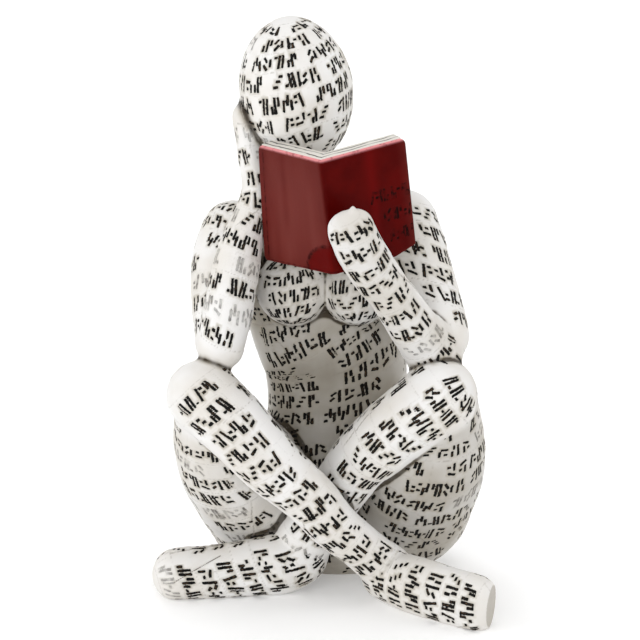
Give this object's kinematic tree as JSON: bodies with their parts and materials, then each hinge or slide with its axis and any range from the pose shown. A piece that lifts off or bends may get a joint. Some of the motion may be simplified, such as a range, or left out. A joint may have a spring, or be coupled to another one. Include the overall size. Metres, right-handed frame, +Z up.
{
  "type": "seated reading figurine",
  "caption": "Seated cross-legged figurine with a plain egg-shaped head that leans on one hand and holds an open book in the other.",
  "frame": {"origin": "middle of the outer size in plan, on the plane that the seat and both feet stand on", "axes": "+Z up to the top of the head, -Y the way the figure faces, +X towards the figure's left hand"},
  "size_m": [0.1188, 0.105, 0.2016],
  "materials": {
    "white_resin": "matt white paint on cast resin, with dark recessed strokes",
    "red_paint": "glossy deep red paint on cast resin"
  },
  "bodies": {
    "root": {"reading_girl": "white_resin", "open_book": "red_paint"}
  },
  "joints": []
}
